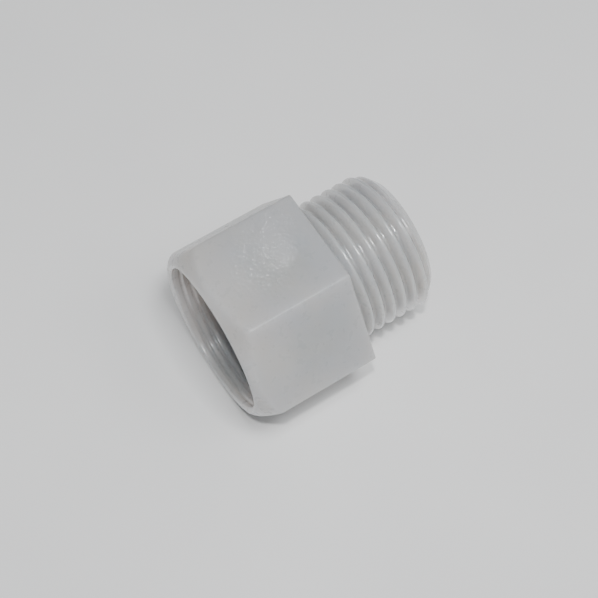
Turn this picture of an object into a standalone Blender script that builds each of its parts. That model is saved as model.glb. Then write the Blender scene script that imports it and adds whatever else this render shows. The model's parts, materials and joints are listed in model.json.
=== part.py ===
"""Pneumatic exhaust muffler: a hexagonal plastic body with a male pipe thread, holding a
stack of screens and porous discs behind a screwed retaining ring, and a packed core tube
in its threaded spigot.

Pieces are modelled standing up on the "muffler_axis" empty, where z is the depth from the
open mouth. The empty lays the muffler on one flat of its hexagon, with the mouth towards -X,
the male thread towards +X, and the world origin at the centre of the hexagon's shoulder.
"""

from math import cos, pi, radians, sin, tan

import bmesh
import bpy

MM = 0.001

# Body: hexagon, mouth and bores.
ACROSS_FLATS = 25.4 * MM
HEX_LENGTH = 17.8 * MM
SPIGOT_LENGTH = 13.2 * MM
RIM_RADIUS = 11.82 * MM
RIM_CHAMFER_LENGTH = 2.2 * MM
MOUTH_RADIUS = 11.38 * MM
MOUTH_DEPTH = 0.5 * MM
FLOOR_THICKNESS = 2.0 * MM
INLET_RADIUS = 7.2 * MM

# Male pipe thread, half-inch size at 14 turns to the inch.
MALE_PITCH = 25.4 * MM / 14
MALE_MAJOR_RADIUS = 20.955 * MM / 2
MALE_DEPTH = 1.16 * MM
MALE_FLANK = radians(27.5)
MALE_FIRST_CREST = 0.99 * MM
RUNOUT_LENGTH = 0.3 * MM
RUNOUT_RADIUS = MALE_MAJOR_RADIUS + 0.05 * MM
TIP_RADIUS = 8.87 * MM

# Shallow female thread of the bore, at 20 turns to the inch.
BORE_PITCH = 1.27 * MM
BORE_MAJOR_RADIUS = 11.15 * MM
BORE_THREAD_DEPTH = 0.35 * MM
BORE_GROOVE_WIDTH = 0.8 * MM
BORE_FLANK = radians(30)
BORE_THREAD_END = 10.0 * MM
THREAD_CLEARANCE = 0.15 * MM

# The retaining ring in the bore's thread.
RING_FRONT = 6.4 * MM
RING_BACK = 9.0 * MM
RING_BORE_RADIUS = 7.5 * MM
RING_CORE_RADIUS = 10.5 * MM
RING_CREST_RADIUS = 10.97 * MM
SPANNER_SLOTS = 4
SPANNER_SLOT_WIDTH = 2.0 * MM
SPANNER_SLOT_DEPTH = 1.2 * MM

# The stack behind the ring, from the ring down to the chamber's floor.
GAP = 0.3 * MM
STACK_RADIUS = 10.4 * MM
WASHER_BORE_RADIUS = 7.7 * MM
STACK = {
    "slip_washer": 0.4 * MM,
    "outlet_screen": 0.3 * MM,
    "outer_porous_disc": 1.0 * MM,
    "baffle_plate": 0.6 * MM,
    "inner_porous_disc": 1.0 * MM,
    "core_tube": 0.6 * MM,
    "seat_gasket": 0.5 * MM,
}
BAFFLE_HOLES = ((6, 3.2 * MM, 0.8 * MM), (12, 6.6 * MM, 0.8 * MM))

# The core tube and what surrounds it in the spigot.
CORE_OUTER_RADIUS = 4.2 * MM
CORE_INNER_RADIUS = 3.4 * MM
CORE_END = 27.4 * MM
CORE_VENT_ROWS = 3
CORE_VENTS_IN_ROW = 4
CORE_VENT_RADIUS = 0.7 * MM
FLANGE_HOLES = ((8, 5.7 * MM, 0.8 * MM),)
SLEEVE_RADII = (4.5 * MM, 6.9 * MM)
INLET_SCREEN_THICKNESS = 0.3 * MM
SNAP_RING_THICKNESS = 0.8 * MM
SNAP_RING_RADII = (6.1 * MM, 7.45 * MM)
SNAP_RING_OPENING = 3.0 * MM
SNAP_GROOVE_RADIUS = 7.75 * MM

# Facets round a turned surface, round one turn of a thread, and round a hole.
FACETS = 48
THREAD_FACETS = 30
HOLE_FACETS = 10
RIDGE_EMBED = 0.12 * MM
RIDGE_RUNOUT = 0.25
BEYOND = 1.0 * MM

# What follows from them.
CORNER_RADIUS = ACROSS_FLATS / 2 / cos(pi / 6)
TOTAL_LENGTH = HEX_LENGTH + SPIGOT_LENGTH
FLOOR_DEPTH = HEX_LENGTH - FLOOR_THICKNESS
MALE_MINOR_RADIUS = MALE_MAJOR_RADIUS - MALE_DEPTH
BORE_MINOR_RADIUS = BORE_MAJOR_RADIUS - BORE_THREAD_DEPTH
INLET_SCREEN_FRONT = CORE_END + GAP
SNAP_RING_FRONT = INLET_SCREEN_FRONT + INLET_SCREEN_THICKNESS + GAP

MATERIALS = {
    "body_plastic": ((0.80, 0.80, 0.79), 0.42, 0.0),
    "ring_plastic": ((0.74, 0.75, 0.74), 0.40, 0.0),
    "porous_plastic": ((0.86, 0.86, 0.83), 0.85, 0.0),
    "gasket_rubber": ((0.05, 0.05, 0.05), 0.70, 0.0),
    "steel": ((0.62, 0.62, 0.60), 0.30, 1.0),
}


def clear_scene():
    for obj in list(bpy.data.objects):
        bpy.data.objects.remove(obj)


def make_collection(name):
    collection = bpy.data.collections.new(name)
    bpy.context.scene.collection.children.link(collection)
    return collection


def make_material(name):
    colour, roughness, metallic = MATERIALS[name]
    material = bpy.data.materials.new(name)
    material.use_nodes = True
    shader = material.node_tree.nodes["Principled BSDF"]
    shader.inputs["Base Color"].default_value = (*colour, 1.0)
    shader.inputs["Roughness"].default_value = roughness
    shader.inputs["Metallic"].default_value = metallic
    return material


def add_object(name, bm, collection):
    """A new object on the muffler's axis, holding what bm holds."""
    mesh = bpy.data.meshes.new(name)
    bm.to_mesh(mesh)
    bm.free()
    obj = bpy.data.objects.new(name, mesh)
    collection.objects.link(obj)
    obj.parent = axis
    return obj


def turned(name, profile, collection):
    """A solid of revolution. The profile's (radius, depth) points run from high depth to
    low depth on the outer side. A profile that never meets the axis is closed."""
    bm = bmesh.new()
    verts = [bm.verts.new((radius, 0, depth)) for radius, depth in profile]
    for first, second in zip(verts, verts[1:]):
        bm.edges.new((first, second))
    if profile[0][0] > 0:
        bm.edges.new((verts[-1], verts[0]))
    obj = add_object(name, bm, collection)
    screw = obj.modifiers.new("turn", "SCREW")
    screw.axis = "Z"
    screw.steps = FACETS
    screw.render_steps = FACETS
    screw.use_merge_vertices = True
    screw.merge_threshold = 0.01 * MM
    return obj


def ring_profile(inner, outer, front, back):
    return [(outer, back), (outer, front), (inner, front), (inner, back)]


def disc_profile(outer, front, back):
    return [(0, back), (outer, back), (outer, front), (0, front)]


def helical_ridge(name, pitch, span, crest_at_zero, base, crest):
    """A closed right-handed ridge of trapezoid section, winding along +z over the depths in
    span. base and crest are (radius, width). The ridge's middle passes crest_at_zero on the
    +x side, and both its ends sink towards the base."""
    steps = round((span[1] - span[0]) / pitch * THREAD_FACETS)
    turns = steps / THREAD_FACETS
    bm = bmesh.new()
    sections = []
    for step in range(steps + 1):
        turn = step / THREAD_FACETS
        height = max(0.1, min(1.0, turn / RIDGE_RUNOUT, (turns - turn) / RIDGE_RUNOUT))
        top_radius = base[0] + (crest[0] - base[0]) * height
        top_width = base[1] + (crest[1] - base[1]) * height
        depth = span[0] + pitch * turn
        angle = 2 * pi * (depth - crest_at_zero) / pitch
        corners = (
            (base[0], -base[1] / 2),
            (top_radius, -top_width / 2),
            (top_radius, top_width / 2),
            (base[0], base[1] / 2),
        )
        sections.append(
            [bm.verts.new((r * cos(angle), r * sin(angle), depth + along)) for r, along in corners]
        )
    for first, second in zip(sections, sections[1:]):
        for side in range(4):
            after = (side + 1) % 4
            bm.faces.new((first[side], first[after], second[after], second[side]))
    bm.faces.new(sections[0])
    bm.faces.new(sections[-1])
    bmesh.ops.recalc_face_normals(bm, faces=bm.faces)
    return add_object(name, bm, cutters)


def cylinder(name, radius, length, location, rotation=(0, 0, 0)):
    bm = bmesh.new()
    bmesh.ops.create_cone(
        bm, cap_ends=True, segments=HOLE_FACETS, radius1=radius, radius2=radius, depth=length
    )
    obj = add_object(name, bm, cutters)
    obj.location = location
    obj.rotation_euler = rotation
    return obj


def radial_block(name, sizes, radius, depth, angle):
    """A cutter block whose middle lies at this radius and depth, in the direction angle."""
    bm = bmesh.new()
    bmesh.ops.create_cube(bm, size=1.0)
    bmesh.ops.scale(bm, vec=sizes, verts=bm.verts)
    block = add_object(name, bm, cutters)
    block.location = (radius * cos(angle), radius * sin(angle), depth)
    block.rotation_euler = (0, 0, angle)
    return block


def combine(obj, other, operation):
    """Adds a Boolean whose other object is a hidden helper."""
    boolean = obj.modifiers.new(other.name, "BOOLEAN")
    boolean.operation = operation
    boolean.object = other
    boolean.solver = "EXACT"
    other.hide_render = True
    other.display_type = "WIRE"


def finish_node(obj, material_name):
    obj.data.materials.append(materials[material_name])
    obj.data.shade_smooth()
    obj.data.set_sharp_from_angle(angle=radians(30))
    return obj


def drill_rings(obj, rings, front, back):
    """Round holes through obj: each ring is (count, pitch circle radius, hole radius)."""
    for count, circle, radius in rings:
        for index in range(count):
            angle = 2 * pi * (index + 0.5) / count
            middle = (circle * cos(angle), circle * sin(angle), (front + back) / 2)
            length = back - front + 2 * BEYOND
            hole = cylinder(f"{obj.name}_hole_{count}_{index}", radius, length, middle)
            combine(obj, hole, "DIFFERENCE")


def stack_depths():
    """(front, back) depth of each piece of the stack, with a gap between neighbours."""
    depths = {}
    front = RING_BACK + GAP
    for name, thickness in STACK.items():
        depths[name] = (front, front + thickness)
        front += thickness + GAP
    return depths


def make_hexagon():
    bm = bmesh.new()
    bmesh.ops.create_cone(
        bm, cap_ends=True, segments=6, radius1=CORNER_RADIUS, radius2=CORNER_RADIUS, depth=HEX_LENGTH
    )
    bmesh.ops.translate(bm, vec=(0, 0, HEX_LENGTH / 2), verts=bm.verts)
    return add_object("muffler_body", bm, parts)


def make_rim_envelope():
    """The cone that turns the hexagon's front end down to a round rim."""
    widening = (CORNER_RADIUS - RIM_RADIUS) / RIM_CHAMFER_LENGTH
    outside = CORNER_RADIUS + BEYOND
    profile = [
        (0, HEX_LENGTH + BEYOND),
        (outside, HEX_LENGTH + BEYOND),
        (outside, (outside - RIM_RADIUS) / widening),
        (RIM_RADIUS - BEYOND * widening, -BEYOND),
        (0, -BEYOND),
    ]
    return turned("rim_envelope", profile, cutters)


def make_male_thread():
    """The spigot's core with its thread, which runs out in a short full collar at the
    shoulder and is chamfered to a plain circle at the tip."""
    core_start = HEX_LENGTH - FLOOR_THICKNESS / 2
    core = disc_profile(MALE_MINOR_RADIUS, core_start, TOTAL_LENGTH + BEYOND)
    spigot = turned("spigot", core, cutters)
    crest_width = MALE_PITCH / 2 - MALE_DEPTH * tan(MALE_FLANK)
    base_width = crest_width + 2 * (MALE_DEPTH + RIDGE_EMBED) * tan(MALE_FLANK)
    ridge = helical_ridge(
        "male_ridge",
        MALE_PITCH,
        (core_start + base_width / 2, TOTAL_LENGTH + MALE_PITCH),
        HEX_LENGTH + MALE_FIRST_CREST,
        (MALE_MINOR_RADIUS - RIDGE_EMBED, base_width),
        (MALE_MAJOR_RADIUS, crest_width),
    )
    combine(spigot, ridge, "UNION")
    runout = disc_profile(RUNOUT_RADIUS, HEX_LENGTH - BEYOND / 2, HEX_LENGTH + RUNOUT_LENGTH)
    combine(spigot, turned("thread_runout", runout, cutters), "UNION")
    outside = MALE_MAJOR_RADIUS + BEYOND
    profile = [
        (0, TOTAL_LENGTH),
        (TIP_RADIUS, TOTAL_LENGTH),
        (outside, TOTAL_LENGTH - (outside - TIP_RADIUS)),
        (outside, core_start - BEYOND),
        (0, core_start - BEYOND),
    ]
    combine(spigot, turned("tip_envelope", profile, cutters), "INTERSECT")
    return spigot


def make_bore_cutter():
    """The mouth, threaded bore, chamber, inlet bore and snap ring groove in one cutter."""
    groove_front = SNAP_RING_FRONT - GAP / 2
    groove_back = SNAP_RING_FRONT + SNAP_RING_THICKNESS + GAP / 2
    mouth_slope = (MOUTH_RADIUS - BORE_MINOR_RADIUS) / MOUTH_DEPTH
    profile = [
        (0, TOTAL_LENGTH + BEYOND),
        (INLET_RADIUS, TOTAL_LENGTH + BEYOND),
        (INLET_RADIUS, groove_back),
        (SNAP_GROOVE_RADIUS, groove_back),
        (SNAP_GROOVE_RADIUS, groove_front),
        (INLET_RADIUS, groove_front),
        (INLET_RADIUS, FLOOR_DEPTH),
        (BORE_MINOR_RADIUS, FLOOR_DEPTH),
        (BORE_MINOR_RADIUS, MOUTH_DEPTH),
        (MOUTH_RADIUS + BEYOND * mouth_slope, -BEYOND),
        (0, -BEYOND),
    ]
    return turned("bore_cutter", profile, cutters)


def tapered(radius, width):
    """(radius, width) of a thread form there, for its width at the bore's minor radius."""
    return radius, width - 2 * (radius - BORE_MINOR_RADIUS) * tan(BORE_FLANK)


def make_bore_groove():
    return helical_ridge(
        "bore_groove",
        BORE_PITCH,
        (-BORE_PITCH, BORE_THREAD_END),
        0,
        tapered(BORE_MINOR_RADIUS - RIDGE_EMBED, BORE_GROOVE_WIDTH),
        tapered(BORE_MAJOR_RADIUS, BORE_GROOVE_WIDTH),
    )


def make_muffler_body():
    body = make_hexagon()
    combine(body, make_rim_envelope(), "INTERSECT")
    combine(body, make_male_thread(), "UNION")
    combine(body, make_bore_cutter(), "DIFFERENCE")
    combine(body, make_bore_groove(), "DIFFERENCE")
    return finish_node(body, "body_plastic")


def make_retaining_ring():
    """The screwed ring, whose ridge runs in the bore's groove clear of both flanks."""
    core = ring_profile(RING_BORE_RADIUS, RING_CORE_RADIUS, RING_FRONT, RING_BACK)
    ring = turned("retaining_ring", core, parts)
    width = BORE_GROOVE_WIDTH - 2 * THREAD_CLEARANCE
    base = tapered(RING_CORE_RADIUS - RIDGE_EMBED, width)
    span = (RING_FRONT + base[1] / 2, RING_BACK - base[1] / 2)
    crest = tapered(RING_CREST_RADIUS, width)
    ridge = helical_ridge("ring_ridge", BORE_PITCH, span, 0, base, crest)
    combine(ring, ridge, "UNION")
    middle = (RING_CREST_RADIUS + RING_BORE_RADIUS) / 2
    length = RING_CREST_RADIUS - RING_BORE_RADIUS + 2 * BEYOND
    sizes = (length, SPANNER_SLOT_WIDTH, 2 * SPANNER_SLOT_DEPTH)
    for index in range(SPANNER_SLOTS):
        angle = 2 * pi * (index + 0.5) / SPANNER_SLOTS
        slot = radial_block(f"spanner_slot_{index}", sizes, middle, RING_FRONT, angle)
        combine(ring, slot, "DIFFERENCE")
    return finish_node(ring, "ring_plastic")


def make_core_tube(front, back):
    """A flange above the chamber's floor and a perforated tube down the spigot. The flange
    closes the tube's inner end, and its other end is open to the inlet."""
    profile = [
        (0, back),
        (CORE_INNER_RADIUS, back),
        (CORE_INNER_RADIUS, CORE_END),
        (CORE_OUTER_RADIUS, CORE_END),
        (CORE_OUTER_RADIUS, back),
        (STACK_RADIUS, back),
        (STACK_RADIUS, front),
        (0, front),
    ]
    tube = turned("core_tube", profile, parts)
    drill_rings(tube, FLANGE_HOLES, front, back)
    spacing = (CORE_END - back) / (CORE_VENT_ROWS + 1)
    middle = (CORE_OUTER_RADIUS + CORE_INNER_RADIUS) / 2
    for row in range(CORE_VENT_ROWS):
        for index in range(CORE_VENTS_IN_ROW):
            angle = 2 * pi * (index + 0.5 * (row % 2)) / CORE_VENTS_IN_ROW
            place = (middle * cos(angle), middle * sin(angle), back + spacing * (row + 1))
            name = f"core_vent_{row}_{index}"
            vent = cylinder(name, CORE_VENT_RADIUS, 2 * BEYOND, place, (0, pi / 2, angle))
            combine(tube, vent, "DIFFERENCE")
    return finish_node(tube, "ring_plastic")


def make_stack():
    depths = stack_depths()
    washer = ring_profile(WASHER_BORE_RADIUS, STACK_RADIUS, *depths["slip_washer"])
    finish_node(turned("slip_washer", washer, parts), "steel")
    screen = disc_profile(STACK_RADIUS, *depths["outlet_screen"])
    finish_node(turned("outlet_screen", screen, parts), "steel")
    for name in ("outer_porous_disc", "inner_porous_disc"):
        finish_node(turned(name, disc_profile(STACK_RADIUS, *depths[name]), parts), "porous_plastic")
    baffle = turned("baffle_plate", disc_profile(STACK_RADIUS, *depths["baffle_plate"]), parts)
    drill_rings(baffle, BAFFLE_HOLES, *depths["baffle_plate"])
    finish_node(baffle, "ring_plastic")
    make_core_tube(*depths["core_tube"])
    gasket = ring_profile(INLET_RADIUS + GAP, STACK_RADIUS, *depths["seat_gasket"])
    finish_node(turned("seat_gasket", gasket, parts), "gasket_rubber")


def make_inlet():
    """What fills the spigot round the core tube, and what closes it at the inlet."""
    inner, outer = SLEEVE_RADII
    sleeve = ring_profile(inner, outer, FLOOR_DEPTH, CORE_END)
    finish_node(turned("packing_sleeve", sleeve, parts), "porous_plastic")
    screen_back = INLET_SCREEN_FRONT + INLET_SCREEN_THICKNESS
    screen = turned("inlet_screen", disc_profile(outer, INLET_SCREEN_FRONT, screen_back), parts)
    finish_node(screen, "steel")
    ring_back = SNAP_RING_FRONT + SNAP_RING_THICKNESS
    section = ring_profile(*SNAP_RING_RADII, SNAP_RING_FRONT, ring_back)
    snap_ring = turned("snap_ring", section, parts)
    sizes = (SNAP_RING_RADII[1], SNAP_RING_OPENING, 2 * BEYOND)
    middle = (SNAP_RING_FRONT + ring_back) / 2
    opening = radial_block("snap_ring_opening", sizes, SNAP_RING_RADII[1], middle, 0)
    combine(snap_ring, opening, "DIFFERENCE")
    finish_node(snap_ring, "steel")


clear_scene()
parts = make_collection("pneumatic_muffler")
cutters = make_collection("cutters")
materials = {name: make_material(name) for name in MATERIALS}

axis = bpy.data.objects.new("muffler_axis", None)
parts.objects.link(axis)
axis.location = (-HEX_LENGTH, 0, 0)
axis.rotation_euler = (0, pi / 2, 0)

make_muffler_body()
make_retaining_ring()
make_stack()
make_inlet()
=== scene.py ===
"""Looks for the pneumatic muffler: a milky translucent plastic body with smooth threads, the
ring, screens and porous discs inside it, a pale floor, soft light and the camera."""

import json
from math import atan2, cos, pi, radians, sin, sqrt

import bmesh
import bpy
import numpy as np
from mathutils import Matrix, Vector
from mathutils import noise as lumps


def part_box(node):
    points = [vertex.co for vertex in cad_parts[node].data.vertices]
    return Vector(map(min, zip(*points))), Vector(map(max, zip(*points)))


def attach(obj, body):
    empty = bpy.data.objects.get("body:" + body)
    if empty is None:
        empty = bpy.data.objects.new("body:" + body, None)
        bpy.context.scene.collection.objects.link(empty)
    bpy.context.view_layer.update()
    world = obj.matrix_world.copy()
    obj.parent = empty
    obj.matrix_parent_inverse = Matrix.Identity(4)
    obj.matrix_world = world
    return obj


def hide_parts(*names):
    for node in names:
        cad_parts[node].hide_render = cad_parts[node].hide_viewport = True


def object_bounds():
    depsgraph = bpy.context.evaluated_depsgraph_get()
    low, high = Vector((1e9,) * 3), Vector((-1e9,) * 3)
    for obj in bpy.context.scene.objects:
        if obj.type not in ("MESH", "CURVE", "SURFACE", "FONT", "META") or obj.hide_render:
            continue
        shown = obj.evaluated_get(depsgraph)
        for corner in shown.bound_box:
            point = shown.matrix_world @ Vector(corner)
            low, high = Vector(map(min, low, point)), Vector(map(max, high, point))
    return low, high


MM = 0.001

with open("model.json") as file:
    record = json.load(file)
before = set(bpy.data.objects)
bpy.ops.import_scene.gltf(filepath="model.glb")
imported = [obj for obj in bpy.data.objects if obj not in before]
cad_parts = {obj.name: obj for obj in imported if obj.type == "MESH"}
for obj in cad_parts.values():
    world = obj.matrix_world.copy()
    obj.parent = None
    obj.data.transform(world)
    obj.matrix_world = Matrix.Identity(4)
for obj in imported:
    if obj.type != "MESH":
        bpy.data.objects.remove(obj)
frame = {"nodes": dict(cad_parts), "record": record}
cad_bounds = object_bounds()

# Where the camera stands, seen from the point that it looks at. The lens and sensor are in mm.
CAMERA_TARGET = Vector((-3.7 * MM, -0.7 * MM, -1.3 * MM))
CAMERA_AZIMUTH = radians(-32.5)
CAMERA_ELEVATION = radians(63.0)
CAMERA_DISTANCE = 196.9 * MM
CAMERA_LENS = 83.85
CAMERA_SENSOR = 36

# Each lamp: name, position and size in metres, power in watts, colour. The two glint lamps are
# small, and put the points of light on the threads and on the top flat.
LAMPS = (
    ("key", (0.010, -0.125, 0.480), 0.12, 1.65, (0.97, 0.985, 1.0)),
    ("side", (0.220, -0.220, 0.400), 0.20, 0.45, (1.0, 0.98, 0.95)),
    ("thread_glint", (-0.084, -0.110, 0.420), 0.018, 0.85, (1.0, 1.0, 1.0)),
    ("face_glint", (0.116, 0.211, 0.450), 0.012, 0.020, (1.0, 1.0, 1.0)),
)
SKY_COLOUR = (0.92, 0.95, 1.0, 1.0)
SKY_STRENGTH = 0.13
STUDIO_FLOOR_HALF_WIDTH = 0.9
STUDIO_FLOOR_DROP = 0.02 * MM

# Edges flatter than these angles are shaded smooth, and a rounded corner takes this many points.
SMOOTH_ANGLE = radians(50)
RING_SMOOTH_ANGLE = radians(35)
CORNER_POINTS = 5

# The body, in distances along the axis (x, from the shoulder) and from the axis.
BODY_LOW, BODY_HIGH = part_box("muffler_body")
MOUTH_X = BODY_LOW.x
TIP_X = BODY_HIGH.x
APOTHEM = BODY_HIGH.z
CORNER_RADIUS = APOTHEM / cos(pi / 6)
CORNER_ROUND = 0.3 * MM
CHAMFER_BLEND = 0.9 * MM
CHAMFER_END_X = MOUTH_X + 3.2 * MM
FLAT_START_X = -14.0 * MM
FLAT_END_X = -0.25 * MM
SHOULDER_ROUND = 0.22 * MM
RIM_RADIUS = 11.82 * MM
RIM_CHAMFER_LENGTH = 2.2 * MM
RIM_LIP = 0.10 * MM
TEXTURE_FADE = 0.4 * MM
MOUTH_RADIUS = 11.38 * MM
MOUTH_DEPTH = 0.3 * MM
MOUTH_BLEND = 0.10 * MM
CHAMBER_FLOOR_X = -2.0 * MM
CHAMBER_FLOOR_ROUND = 0.2 * MM
INLET_RADIUS = 7.2 * MM
INLET_ROUND = 0.3 * MM
SNAP_GROOVE_RADIUS = 7.75 * MM
SNAP_GROOVE_LOW_X = 10.45 * MM
SNAP_GROOVE_HIGH_X = 11.55 * MM
SNAP_GROOVE_ROUND = 0.04 * MM
TIP_RADIUS = 8.87 * MM
TIP_ROUND = 0.12 * MM
TIP_BLEND = 0.18 * MM

# The male thread, which starts past a short plain collar.
MALE_PITCH = 25.4 * MM / 14
MALE_MAJOR_RADIUS = 20.955 * MM / 2
MALE_DEPTH = 1.16 * MM
MALE_FLANK = radians(27.5)
MALE_CREST_X = 1.44 * MM
MALE_ROUND = 0.137 * MALE_PITCH
COLLAR_LENGTH = 0.3 * MM
COLLAR_BLEND = 0.24 * MM
COLLAR_CLOSE_X = 0.5 * MM
COLLAR_RADIUS = MALE_MAJOR_RADIUS + 0.05 * MM

# The bore's thread, a shallow groove that fades in past the mouth and out before its end.
BORE_PITCH = 1.27 * MM
BORE_MAJOR_RADIUS = 11.15 * MM
BORE_DEPTH = 0.20 * MM
BORE_GROOVE_WIDTH = 0.8 * MM
BORE_GROOVE_FLANK = 0.45 * BORE_GROOVE_WIDTH
BORE_GROOVE_TURN = 0.25
BORE_PLAIN_LENGTH = 0.2 * MM
BORE_LEAD_IN = 0.9 * MM
BORE_RUN_OUT = 0.8 * BORE_PITCH
BORE_THREAD_END_X = MOUTH_X + 10.0 * MM

RING_BORE_RADIUS = 7.5 * MM
RING_BORE_ROUND = 0.3 * MM
RING_CORE_RADIUS = 10.5 * MM
RING_CREST_RADIUS = 10.97 * MM
RING_EDGE_CUT = 0.25 * MM
RING_EDGE_BLEND = 0.06 * MM
SPANNER_SLOTS = 4
SPANNER_SLOT_WIDTH = 2.0 * MM
SPANNER_SLOT_DEPTH = 1.2 * MM
SPANNER_SLOT_REACH = 6 * MM
SPANNER_SLOT_ROUND = 0.18 * MM

WASHER_BORE_RADIUS = 7.7 * MM
SLEEVE_BORE_RADIUS = 4.5 * MM
FLAT_RING_EDGE = 0.08 * MM
DISC_EDGE = 0.12 * MM
BEAD_LUMP = 0.33 * MM
BEAD_HEIGHT = 0.09 * MM

SNAP_INNER_RADIUS = 6.1 * MM
SNAP_EDGE = 0.15 * MM
SNAP_HALF_GAP = radians(12.5)
SNAP_END_TAPER = radians(1.6)
SNAP_END_SIZE = 0.82

SCREEN_WIRE = 0.15 * MM
SCREEN_WIRE_SIDES = 6
SCREEN_MESH = 0.72 * MM
SCREEN_STEPS = 5


# ---------------------------------------------------------------- materials


def new_material(name):
    material = bpy.data.materials.new(name)
    material.use_nodes = True
    tree = material.node_tree
    return material, tree, tree.nodes["Principled BSDF"]


def object_coordinates(tree):
    return tree.nodes.new("ShaderNodeTexCoord").outputs["Object"]


def noise(tree, scale, detail=3.0, roughness=0.5):
    """Noise over the piece. scale is in lumps to the metre."""
    node = tree.nodes.new("ShaderNodeTexNoise")
    node.inputs["Scale"].default_value = scale
    node.inputs["Detail"].default_value = detail
    node.inputs["Roughness"].default_value = roughness
    tree.links.new(object_coordinates(tree), node.inputs["Vector"])
    return node.outputs["Fac"]


def grains(tree, scale):
    """Distance to the nearest of a scatter of grains. scale is in grains to the metre."""
    node = tree.nodes.new("ShaderNodeTexVoronoi")
    node.inputs["Scale"].default_value = scale
    tree.links.new(object_coordinates(tree), node.inputs["Vector"])
    return node.outputs["Distance"]


def ramp(tree, source, stops):
    """A colour ramp on source. stops are (position, colour)."""
    node = tree.nodes.new("ShaderNodeValToRGB")
    elements = node.color_ramp.elements
    while len(elements) < len(stops):
        elements.new(0.5)
    for element, (position, colour) in zip(elements, stops):
        element.position = position
        element.color = (*colour, 1.0)
    tree.links.new(source, node.inputs["Fac"])
    return node.outputs["Color"]


def vary(tree, source, low, high):
    """source, from 0 to 1, turned into a number from low to high."""
    node = tree.nodes.new("ShaderNodeMapRange")
    node.inputs["To Min"].default_value = low
    node.inputs["To Max"].default_value = high
    tree.links.new(source, node.inputs["Value"])
    return node.outputs["Result"]


def add_bumps(tree, shader, layers):
    """Stacks bumps on the shader. layers are (height source, strength, depth in metres), and
    a strength is a number or an output."""
    normal = None
    for source, strength, depth in layers:
        bump = tree.nodes.new("ShaderNodeBump")
        if isinstance(strength, float):
            bump.inputs["Strength"].default_value = strength
        else:
            tree.links.new(strength, bump.inputs["Strength"])
        bump.inputs["Distance"].default_value = depth
        tree.links.new(source, bump.inputs["Height"])
        if normal is not None:
            tree.links.new(normal, bump.inputs["Normal"])
        normal = bump.outputs["Normal"]
    tree.links.new(normal, shader.inputs["Normal"])
    tree.links.new(normal, shader.inputs["Coat Normal"])


def textured_zone(tree):
    """1 on the hexagon's outside, which has the mould's texture, and 0 on the polished
    threads and bore, which are nearer to the axis."""
    split = tree.nodes.new("ShaderNodeSeparateXYZ")
    tree.links.new(object_coordinates(tree), split.inputs["Vector"])
    flat = tree.nodes.new("ShaderNodeCombineXYZ")
    tree.links.new(split.outputs["Y"], flat.inputs["Y"])
    tree.links.new(split.outputs["Z"], flat.inputs["Z"])
    off_axis = tree.nodes.new("ShaderNodeVectorMath")
    off_axis.operation = "LENGTH"
    tree.links.new(flat.outputs["Vector"], off_axis.inputs[0])
    zone = tree.nodes.new("ShaderNodeMapRange")
    zone.inputs["From Min"].default_value = RIM_RADIUS - TEXTURE_FADE
    zone.inputs["From Max"].default_value = RIM_RADIUS
    tree.links.new(off_axis.outputs["Value"], zone.inputs["Value"])
    return zone.outputs["Result"]


def milky_plastic(name, cool, warm, depth):
    """Natural nylon: light sinks in as far as depth and scatters. The polished threads and
    bore have a strong sharp shine, and the textured outside has little of it."""
    material, tree, shader = new_material(name)
    cloud = noise(tree, 110, 4.0)
    tree.links.new(ramp(tree, cloud, ((0.32, cool), (0.68, warm))), shader.inputs["Base Color"])
    shader.inputs["Subsurface Weight"].default_value = 1.0
    shader.inputs["Subsurface Radius"].default_value = (1.0, 0.86, 0.78)
    shader.inputs["Subsurface Scale"].default_value = depth
    shader.inputs["Coat Roughness"].default_value = 0.06
    shader.inputs["Coat IOR"].default_value = 1.8
    shader.inputs["IOR"].default_value = 1.5
    shader.inputs["Specular IOR Level"].default_value = 0.5
    tree.links.new(vary(tree, noise(tree, 900, 4.0), 0.18, 0.42), shader.inputs["Roughness"])
    textured = textured_zone(tree)
    tree.links.new(vary(tree, textured, 1.0, 0.18), shader.inputs["Coat Weight"])
    layers = (
        (noise(tree, 130, 2.0), 0.35, 0.20 * MM),
        (noise(tree, 1300, 2.0), vary(tree, textured, 0.20, 0.05), 0.08 * MM),
        (grains(tree, 1900), vary(tree, textured, 0.20, 0.14), 0.05 * MM),
    )
    add_bumps(tree, shader, layers)
    return material


def porous_plastic():
    """Sintered beads: pale round grains, with painted shade darkening the pores between them."""
    material, tree, shader = new_material("porous_plastic")
    beads = grains(tree, 3600)
    # Pale at each grain's middle, darker towards its edge: the dark stop is painted shade in the pores
    # between the beads.
    stops = ((0.0, (0.86, 0.86, 0.83)), (0.45, (0.80, 0.80, 0.76)), (0.85, (0.34, 0.34, 0.32)))
    tree.links.new(ramp(tree, beads, stops), shader.inputs["Base Color"])
    shader.inputs["Subsurface Weight"].default_value = 0.25
    shader.inputs["Subsurface Scale"].default_value = 0.4 * MM
    tree.links.new(vary(tree, noise(tree, 2500), 0.75, 0.95), shader.inputs["Roughness"])
    invert = vary(tree, beads, 1.0, 0.0)
    add_bumps(tree, shader, ((invert, 0.8, 0.15 * MM), (noise(tree, 700), 0.3, 0.10 * MM)))
    return material


def rubber():
    """Black elastomer, slightly dusty."""
    material, tree, shader = new_material("gasket_rubber")
    stops = ((0.35, (0.030, 0.030, 0.031)), (0.7, (0.075, 0.073, 0.070)))
    tree.links.new(ramp(tree, noise(tree, 900, 5.0), stops), shader.inputs["Base Color"])
    tree.links.new(vary(tree, noise(tree, 1600), 0.55, 0.8), shader.inputs["Roughness"])
    add_bumps(tree, shader, ((noise(tree, 4000, 4.0), 0.25, 0.03 * MM),))
    return material


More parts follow.
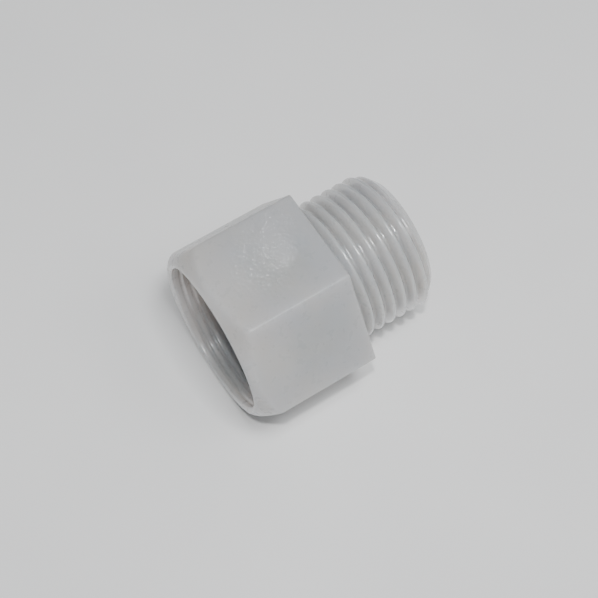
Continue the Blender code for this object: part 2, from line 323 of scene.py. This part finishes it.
def steel():
    """Stainless steel, with a slightly uneven colour and shine."""
    material, tree, shader = new_material("steel")
    stops = ((0.3, (0.52, 0.52, 0.51)), (0.7, (0.70, 0.69, 0.67)))
    tree.links.new(ramp(tree, noise(tree, 1400, 5.0, 0.65), stops), shader.inputs["Base Color"])
    shader.inputs["Metallic"].default_value = 1.0
    tree.links.new(vary(tree, noise(tree, 2600, 4.0), 0.20, 0.42), shader.inputs["Roughness"])
    add_bumps(tree, shader, ((noise(tree, 6000, 3.0), 0.12, 0.02 * MM),))
    return material


def floor_paint():
    """Plain pale matt paint."""
    material, tree, shader = new_material("floor_paint")
    stops = ((0.35, (0.86, 0.86, 0.86)), (0.65, (0.90, 0.90, 0.895)))
    tree.links.new(ramp(tree, noise(tree, 25, 3.0), stops), shader.inputs["Base Color"])
    tree.links.new(vary(tree, noise(tree, 60), 0.75, 0.85), shader.inputs["Roughness"])
    return material


materials = {
    "body_plastic": milky_plastic(
        "body_plastic", (0.435, 0.445, 0.462), (0.462, 0.455, 0.440), 10.0 * MM
    ),
    "ring_plastic": milky_plastic(
        "ring_plastic", (0.50, 0.515, 0.53), (0.54, 0.53, 0.515), 5.0 * MM
    ),
    "porous_plastic": porous_plastic(),
    "gasket_rubber": rubber(),
    "steel": steel(),
}


# ---------------------------------------------------------------- meshes


def mesh_from(name, bm):
    """The mesh that bm holds. bm is freed."""
    mesh = bpy.data.meshes.new(name)
    bm.to_mesh(mesh)
    bm.free()
    return mesh


def link_object(name, data):
    obj = bpy.data.objects.new(name, data)
    bpy.context.scene.collection.objects.link(obj)
    return obj


def finish_mesh(name, mesh):
    """Turns every face outwards, shades it smooth and links the object."""
    bm = bmesh.new()
    bm.from_mesh(mesh)
    bmesh.ops.remove_doubles(bm, verts=bm.verts, dist=0.0005 * MM)
    bmesh.ops.recalc_face_normals(bm, faces=bm.faces)
    bm.to_mesh(mesh)
    bm.free()
    mesh.shade_smooth()
    mesh.set_sharp_from_angle(angle=SMOOTH_ANGLE)
    return link_object(name, mesh)


def place(obj, body, slot, node):
    """Gives obj its material, hangs it on the body that it rides on, and hides the CAD node that it
    stands for.
    """
    obj.data.materials.append(materials[slot])
    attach(obj, body)
    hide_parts(node)


def bridge_rings(bm, rings):
    """Joins each ring of points to the next with faces, and closes both ends."""
    for first, second in zip(rings, rings[1:]):
        for side in range(len(first)):
            after = (side + 1) % len(first)
            bm.faces.new((first[side], first[after], second[after], second[side]))
    bm.faces.new(rings[0])
    bm.faces.new(rings[-1])


def rounded_path(corners):
    """A closed path past corners (x, radius, rounding, points). Each corner is rounded off by a
    curve that starts rounding before it, or less if a side is short, and points is the number
    of points on the straight run that follows it."""
    path = []
    count = len(corners)
    for index, (x, radius, rounding, points) in enumerate(corners):
        here = np.array((x, radius))
        before = np.array(corners[index - 1][:2]) - here
        after = np.array(corners[(index + 1) % count][:2]) - here
        before_length, after_length = np.linalg.norm(before), np.linalg.norm(after)
        cut = min(rounding, 0.45 * before_length, 0.45 * after_length)
        start = here + before / before_length * cut
        end = here + after / after_length * cut
        for step in np.linspace(0, 1, CORNER_POINTS):
            path.append(start * (1 - step) ** 2 + here * 2 * step * (1 - step) + end * step**2)
        following = corners[(index + 1) % count]
        next_cut = min(following[2], 0.45 * after_length)
        stop = here + after / after_length * (after_length - next_cut)
        for step in np.linspace(0, 1, points + 2)[1:-1]:
            path.append(end * (1 - step) + stop * step)
    return np.array(path)


def open_path(corners):
    """A rounded path from just after the first corner to just before the last."""
    return rounded_path(corners)[CORNER_POINTS:-CORNER_POINTS]


def wrapped_mesh(name, angles, columns):
    """A closed ring-shaped mesh: columns[i] is the section's (x, radius) loop at angles[i]."""
    sections = np.array(columns)
    x, radius = sections[:, :, 0], sections[:, :, 1]
    around = np.array(angles)[:, None]
    points = np.stack((x, radius * np.cos(around), radius * np.sin(around)), axis=2)
    rows = x.shape[1]
    turn = np.arange(len(angles))[:, None]
    step = np.arange(rows)[None, :]
    here, ahead = turn * rows, (turn + 1) % len(angles) * rows
    next_step = (step + 1) % rows
    faces = np.stack((here + step, ahead + step, ahead + next_step, here + next_step), axis=2)
    mesh = bpy.data.meshes.new(name)
    mesh.from_pydata(points.reshape(-1, 3).tolist(), [], faces.reshape(-1, 4).tolist())
    return finish_mesh(name, mesh)


def lathe(name, corners, columns=144):
    """A turned piece with rounded edges. Its section may touch the axis."""
    section = rounded_path(corners)
    angles = np.linspace(0, 2 * pi, columns, endpoint=False)
    return wrapped_mesh(name, angles, [section] * columns)


# ---------------------------------------------------------------- body


def smooth_min(first, second, blend):
    """The lower of two heights, with the edge between them rounded over about blend."""
    share = np.clip(0.5 + 0.5 * (second - first) / blend, 0.0, 1.0)
    return second * (1 - share) + first * share - blend * share * (1 - share)


def ease(share):
    """share, from 0 to 1, with a gentle start and a gentle end."""
    return share * share * (3 - 2 * share)


def thread_height(phase, pitch, depth, flank, rounding):
    """Height of a thread form over its root. phase is 0 on a crest and 0.5 in a root, and
    the crest and the root are arcs of radius rounding."""
    away = np.abs((phase + 0.5) % 1.0 - 0.5) * pitch
    reach = rounding * cos(flank)
    sagitta = rounding * (1 - sin(flank))
    crest = depth - (rounding - np.sqrt(np.maximum(rounding**2 - away**2, 0)))
    low = pitch / 2 - away
    root = rounding - np.sqrt(np.maximum(rounding**2 - low**2, 0))
    slope = (depth - 2 * sagitta) / (pitch / 2 - 2 * reach)
    flank_line = depth - sagitta - (away - reach) * slope
    return np.where(away <= reach, crest, np.where(low <= reach, root, flank_line))


def groove_depth(x, turn):
    """Depth of the bore's helical groove, with soft flanks and a gently rounded bottom."""
    phase = (x - MOUTH_X) / BORE_PITCH - turn - BORE_GROOVE_TURN
    away = np.abs((phase + 0.5) % 1.0 - 0.5) * BORE_PITCH
    return BORE_DEPTH * ease(np.clip((BORE_GROOVE_WIDTH / 2 - away) / BORE_GROOVE_FLANK, 0, 1))


def hexagon_radius(angle):
    """Radius of the hexagon with rounded corners, which lie at 0, 60, 120 degrees and so on."""
    off_corner = abs((angle + pi / 6) % (pi / 3) - pi / 6)
    centre = CORNER_RADIUS - CORNER_ROUND / cos(pi / 6)
    tangent = atan2(CORNER_ROUND * sin(pi / 6), centre + CORNER_ROUND * cos(pi / 6))
    if off_corner >= tangent:
        return APOTHEM / cos(pi / 6 - off_corner)
    return centre * cos(off_corner) + sqrt(CORNER_ROUND**2 - (centre * sin(off_corner)) ** 2)


def column_angles():
    """Angles round the axis, closer together at the hexagon's corners."""
    close = np.linspace(0, 2.4, 9)
    wide = np.linspace(3.2, 30, 20)
    half = np.concatenate((close, wide))
    sixth = np.concatenate((-half[:0:-1], half))[:-1]
    return np.radians(np.concatenate([60 * k + sixth for k in range(6)]))


def outer_wall(hexagon):
    """The outside, from the mouth over its turned chamfer to just before the shoulder."""
    close = np.linspace(MOUTH_X, CHAMFER_END_X, 34)
    wide = np.linspace(FLAT_START_X, FLAT_END_X, 26)
    x = np.concatenate((close, wide))
    cone = RIM_RADIUS + (x - MOUTH_X) * (CORNER_RADIUS - RIM_RADIUS) / RIM_CHAMFER_LENGTH
    return np.stack((x, smooth_min(np.full_like(x, hexagon), cone, CHAMFER_BLEND)), axis=1)


def shoulder_edge(hexagon):
    """The small round edge between the hexagon and the shoulder's face."""
    edge = np.linspace(0, pi / 2, 6)
    x = SHOULDER_ROUND * (np.sin(edge) - 1)
    return np.stack((x, hexagon + SHOULDER_ROUND * (np.cos(edge) - 1)), axis=1)


def male_thread(turn):
    """The collar, the thread and the chamfer at its tip."""
    close = np.linspace(0, COLLAR_CLOSE_X, 9)[:-1]
    x = np.concatenate((close, np.linspace(COLLAR_CLOSE_X, TIP_X, 168)))
    root = MALE_MAJOR_RADIUS - MALE_DEPTH
    phase = (x - MALE_CREST_X) / MALE_PITCH - turn
    thread = root + thread_height(phase, MALE_PITCH, MALE_DEPTH, MALE_FLANK, MALE_ROUND)
    collar = ease(np.clip((COLLAR_LENGTH - x) / COLLAR_BLEND + 0.5, 0, 1))
    radius = thread + (COLLAR_RADIUS - thread) * collar
    tip = TIP_RADIUS + (TIP_X - x)
    return np.stack((x, smooth_min(radius, tip, TIP_BLEND)), axis=1)


def inside_wall(tip_radius, bore_radius):
    """The tip's face, the spigot's bore with its snap ring groove, and the chamber's floor."""
    return open_path(
        [
            (TIP_X, tip_radius, TIP_ROUND, 3),
            (TIP_X, INLET_RADIUS, INLET_ROUND, 3),
            (SNAP_GROOVE_HIGH_X, INLET_RADIUS, SNAP_GROOVE_ROUND, 1),
            (SNAP_GROOVE_HIGH_X, SNAP_GROOVE_RADIUS, SNAP_GROOVE_ROUND, 2),
            (SNAP_GROOVE_LOW_X, SNAP_GROOVE_RADIUS, SNAP_GROOVE_ROUND, 1),
            (SNAP_GROOVE_LOW_X, INLET_RADIUS, SNAP_GROOVE_ROUND, 10),
            (CHAMBER_FLOOR_X, INLET_RADIUS, CHAMBER_FLOOR_ROUND, 4),
            (CHAMBER_FLOOR_X, bore_radius, CHAMBER_FLOOR_ROUND, 4),
            (BORE_THREAD_END_X, bore_radius, 0.0, 0),
        ]
    )


def bore_wall(bore_radius, turn):
    """The bore from the end of its thread out to the mouth, which widens a little."""
    x = np.linspace(BORE_THREAD_END_X, MOUTH_X, 130)
    fade = np.clip((BORE_THREAD_END_X - x) / BORE_RUN_OUT, 0, 1)
    fade = fade * np.clip((x - MOUTH_X - BORE_PLAIN_LENGTH) / BORE_LEAD_IN, 0, 1)
    wall = bore_radius + groove_depth(x, turn) * fade
    mouth = bore_radius + (MOUTH_RADIUS - bore_radius) * (1 - (x - MOUTH_X) / MOUTH_DEPTH)
    return np.stack((x, -smooth_min(-wall, -mouth, MOUTH_BLEND)), axis=1)


def body_section(angle):
    """The body's (x, radius) section loop at one angle, with both threads cut at it."""
    hexagon = hexagon_radius(angle)
    turn = angle / (2 * pi)
    bore_radius = BORE_MAJOR_RADIUS - BORE_DEPTH

    outer = outer_wall(hexagon)
    shoulder = shoulder_edge(hexagon)
    male = male_thread(turn)
    face = np.linspace(shoulder[-1, 1], male[0, 1], 12)[1:-1]
    annulus = np.stack((np.zeros_like(face), face), axis=1)
    inside = inside_wall(male[-1, 1], bore_radius)
    bore = bore_wall(bore_radius, turn)

    rim = np.linspace(bore[-1, 1], outer[0, 1], 6)[1:-1]
    lip = RIM_LIP * np.sin(np.linspace(0, pi, 6)[1:-1])
    rim_face = np.stack((MOUTH_X + RIM_LIP - lip, rim), axis=1)
    bore = bore[bore[:, 0] > MOUTH_X + RIM_LIP]
    outer = outer[outer[:, 0] > MOUTH_X + RIM_LIP]
    return np.concatenate((outer, shoulder, annulus, male, inside, bore, rim_face))


def make_body():
    angles = column_angles()
    body = wrapped_mesh("muffler_body_shell", angles, [body_section(a) for a in angles])
    place(body, "housing", "body_plastic", "muffler_body")


# ---------------------------------------------------------------- retaining ring


def ring_section(angle):
    """The retaining ring's section loop: its thread runs in the bore's groove."""
    low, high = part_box("retaining_ring")
    edge = np.linspace(low.x, high.x, 40)
    groove = groove_depth(edge, angle / (2 * pi)) / BORE_DEPTH
    rise = np.clip(1.5 * groove - 0.5, 0, 1)
    ridge = RING_CORE_RADIUS + (RING_CREST_RADIUS - RING_CORE_RADIUS) * rise
    room = np.minimum(edge - low.x, high.x - edge)
    ridge = smooth_min(ridge, RING_CORE_RADIUS - RING_EDGE_CUT + room, RING_EDGE_BLEND)
    outside = np.stack((edge, ridge), axis=1)
    inside = open_path(
        [
            (high.x, ridge[-1], 0.0, 4),
            (high.x, RING_BORE_RADIUS, RING_BORE_ROUND, 6),
            (low.x, RING_BORE_RADIUS, RING_BORE_ROUND, 4),
            (low.x, ridge[0], 0.0, 0),
        ]
    )
    return np.concatenate((outside, inside))


def slot_cutter(front_x, angle):
    """A bar with rounded edges that lies across the ring's front face at one angle."""
    size = (2 * SPANNER_SLOT_DEPTH, SPANNER_SLOT_REACH, SPANNER_SLOT_WIDTH)
    middle = (RING_BORE_RADIUS + RING_CREST_RADIUS) / 2
    bm = bmesh.new()
    bmesh.ops.create_cube(bm, size=1.0)
    bmesh.ops.scale(bm, vec=size, verts=bm.verts)
    long_edges = [e for e in bm.edges if abs((e.verts[0].co - e.verts[1].co).y) > MM]
    bmesh.ops.bevel(
        bm, geom=long_edges, offset=SPANNER_SLOT_ROUND, segments=3, affect="EDGES", profile=0.5
    )
    bmesh.ops.translate(bm, vec=(front_x, middle, 0), verts=bm.verts)
    bmesh.ops.rotate(bm, cent=(0, 0, 0), matrix=Matrix.Rotation(angle, 3, "X"), verts=bm.verts)
    return link_object("slot_cutter", mesh_from("slot_cutter", bm))


def cut_away(obj, cutter):
    """Cuts cutter out of obj's mesh, and removes cutter."""
    boolean = obj.modifiers.new("slot", "BOOLEAN")
    boolean.object = cutter
    boolean.solver = "EXACT"
    evaluated = obj.evaluated_get(bpy.context.evaluated_depsgraph_get())
    mesh = bpy.data.meshes.new_from_object(evaluated)
    obj.modifiers.clear()
    obj.data = mesh
    bpy.data.objects.remove(cutter)


def make_retaining_ring():
    """The ring with its thread and its spanner slots."""
    angles = np.linspace(0, 2 * pi, 240, endpoint=False)
    ring = wrapped_mesh("retaining_ring_threaded", angles, [ring_section(a) for a in angles])
    front_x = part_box("retaining_ring")[0].x
    for index in range(SPANNER_SLOTS):
        cut_away(ring, slot_cutter(front_x, 2 * pi * (index + 0.5) / SPANNER_SLOTS))
    ring.data.shade_smooth()
    ring.data.set_sharp_from_angle(angle=RING_SMOOTH_ANGLE)
    place(ring, "retaining_ring", "ring_plastic", "retaining_ring")


# ---------------------------------------------------------------- washer and porous pieces


def ring_corners(node, inner):
    """The section of a flat ring that fills its CAD node's box outwards from inner."""
    low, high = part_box(node)
    return [
        (low.x, inner, FLAT_RING_EDGE, 6),
        (high.x, inner, FLAT_RING_EDGE, 6),
        (high.x, high.z, FLAT_RING_EDGE, 6),
        (low.x, high.z, FLAT_RING_EDGE, 6),
    ]


def disc_corners(node, rows=26):
    """The section of a plain disc that fills its CAD node's box."""
    low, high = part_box(node)
    return [
        (low.x, 0.0, 0.0, rows),
        (low.x, high.z, DISC_EDGE, 2),
        (high.x, high.z, DISC_EDGE, rows),
        (high.x, 0.0, 0.0, 0),
    ]


def roughen(obj):
    """Pushes the points of a porous piece inwards along the axis, in bead-sized lumps."""
    centre_x = (obj.bound_box[0][0] + obj.bound_box[6][0]) / 2
    for vertex in obj.data.vertices:
        amount = BEAD_HEIGHT * (0.5 + 0.5 * lumps.noise(vertex.co / BEAD_LUMP))
        vertex.co.x -= amount * (1 if vertex.co.x > centre_x else -1)


def make_slip_washer():
    washer = lathe("slip_washer_turned", ring_corners("slip_washer", WASHER_BORE_RADIUS))
    place(washer, "slip_washer", "steel", "slip_washer")


def make_porous_piece(node, corners):
    piece = lathe(f"{node}_sintered", corners)
    roughen(piece)
    place(piece, "housing", "porous_plastic", node)


# ---------------------------------------------------------------- screens and snap ring


def wire_rings(bm, centres):
    """Rings of points round a wire that runs along centres."""
    rings = []
    for index, centre in enumerate(centres):
        ahead = centres[min(index + 1, len(centres) - 1)]
        behind = centres[max(index - 1, 0)]
        along = (ahead - behind).normalized()
        across = along.cross(Vector((1, 0, 0))).normalized()
        up = along.cross(across)
        ring = []
        for side in range(SCREEN_WIRE_SIDES):
            turn = 2 * pi * side / SCREEN_WIRE_SIDES
            ring.append(bm.verts.new(centre + SCREEN_WIRE / 2 * (cos(turn) * across + sin(turn) * up)))
        rings.append(ring)
    return rings


def make_woven_screen(node):
    """Plain-woven wire cloth, cut round to its CAD disc."""
    low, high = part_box(node)
    middle = (low.x + high.x) / 2
    radius = high.z - SCREEN_WIRE
    swing = (high.x - low.x) / 2 - SCREEN_WIRE / 2
    bm = bmesh.new()
    count = int(radius / SCREEN_MESH)
    for direction in range(2):
        for wire in range(-count, count + 1):
            offset = wire * SCREEN_MESH
            half = sqrt(max(radius**2 - offset**2, 0))
            if half < SCREEN_MESH:
                continue
            side = 1 if (wire + direction) % 2 else -1
            centres = []
            for along in np.linspace(-half, half, max(6, int(2 * half / SCREEN_MESH * SCREEN_STEPS))):
                depth = middle + side * swing * cos(pi * along / SCREEN_MESH)
                pair = (offset, along) if direction else (along, offset)
                centres.append(Vector((depth, *pair)))
            bridge_rings(bm, wire_rings(bm, centres))
    cloth = finish_mesh(f"{node}_cloth", mesh_from(f"{node}_cloth", bm))
    place(cloth, "housing", "steel", node)


def make_snap_ring():
    """A split ring of rounded rectangular section, open at the bottom, with tapered ends."""
    low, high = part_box("snap_ring")
    middle_x, middle_r = (low.x + high.x) / 2, (SNAP_INNER_RADIUS + high.z) / 2
    half_x, half_r = (high.x - low.x) / 2, (high.z - SNAP_INNER_RADIUS) / 2
    corners = [(-half_x, -half_r), (half_x, -half_r), (half_x, half_r), (-half_x, half_r)]
    loop = rounded_path([(x, r, SNAP_EDGE, 1) for x, r in corners])
    first_angle, last_angle = -pi / 2 + SNAP_HALF_GAP, 3 * pi / 2 - SNAP_HALF_GAP
    bm = bmesh.new()
    rings = []
    for angle in np.linspace(first_angle, last_angle, 130):
        to_end = min(angle - first_angle, last_angle - angle)
        size = SNAP_END_SIZE + (1 - SNAP_END_SIZE) * min(1.0, to_end / SNAP_END_TAPER)
        ring = []
        for x, r in loop:
            radius = middle_r + r * size
            ring.append(bm.verts.new((middle_x + x * size, radius * cos(angle), radius * sin(angle))))
        rings.append(ring)
    bridge_rings(bm, rings)
    wire = finish_mesh("snap_ring_wire", mesh_from("snap_ring_wire", bm))
    place(wire, "housing", "steel", "snap_ring")


# ---------------------------------------------------------------- floor, light, camera


def make_floor():
    bm = bmesh.new()
    bmesh.ops.create_grid(bm, x_segments=8, y_segments=8, size=STUDIO_FLOOR_HALF_WIDTH)
    floor = link_object("floor", mesh_from("floor", bm))
    floor.location.z = cad_bounds[0][2] - STUDIO_FLOOR_DROP
    floor.data.materials.append(floor_paint())


def make_lamp(name, position, size, power, colour):
    """A square lamp that points at the origin."""
    light = bpy.data.lights.new(name, "AREA")
    light.size = size
    light.energy = power
    light.color = colour
    lamp = link_object(name, light)
    lamp.location = position
    lamp.rotation_euler = (-Vector(position)).to_track_quat("-Z", "Y").to_euler()


def make_sky():
    world = bpy.data.worlds.new("studio")
    bpy.context.scene.world = world
    world.use_nodes = True
    background = world.node_tree.nodes["Background"]
    background.inputs["Color"].default_value = SKY_COLOUR
    background.inputs["Strength"].default_value = SKY_STRENGTH


def make_camera():
    level = cos(CAMERA_ELEVATION)
    away = Vector((sin(CAMERA_AZIMUTH) * level, -cos(CAMERA_AZIMUTH) * level, sin(CAMERA_ELEVATION)))
    data = bpy.data.cameras.new("camera")
    data.lens = CAMERA_LENS
    data.sensor_width = CAMERA_SENSOR
    data.clip_start = MM
    camera = link_object("camera", data)
    camera.location = CAMERA_TARGET + away * CAMERA_DISTANCE
    camera.rotation_euler = (-away).to_track_quat("-Z", "Y").to_euler()
    bpy.context.scene.camera = camera


def dress_cad_nodes():
    """Gives each CAD node its slot's material. Three of them keep their CAD shape and show."""
    slots = {piece["node"]: piece["material_slot"] for piece in frame["record"]["subparts"]}
    for name, node in frame["nodes"].items():
        node.data.materials.clear()
        node.data.materials.append(materials[slots[name]])


make_body()
make_retaining_ring()
make_slip_washer()
make_porous_piece("outer_porous_disc", disc_corners("outer_porous_disc"))
make_porous_piece("inner_porous_disc", disc_corners("inner_porous_disc"))
make_porous_piece("packing_sleeve", ring_corners("packing_sleeve", SLEEVE_BORE_RADIUS))
make_woven_screen("outlet_screen")
make_woven_screen("inlet_screen")
make_snap_ring()
dress_cad_nodes()

make_floor()
make_sky()
for lamp_settings in LAMPS:
    make_lamp(*lamp_settings)
make_camera()
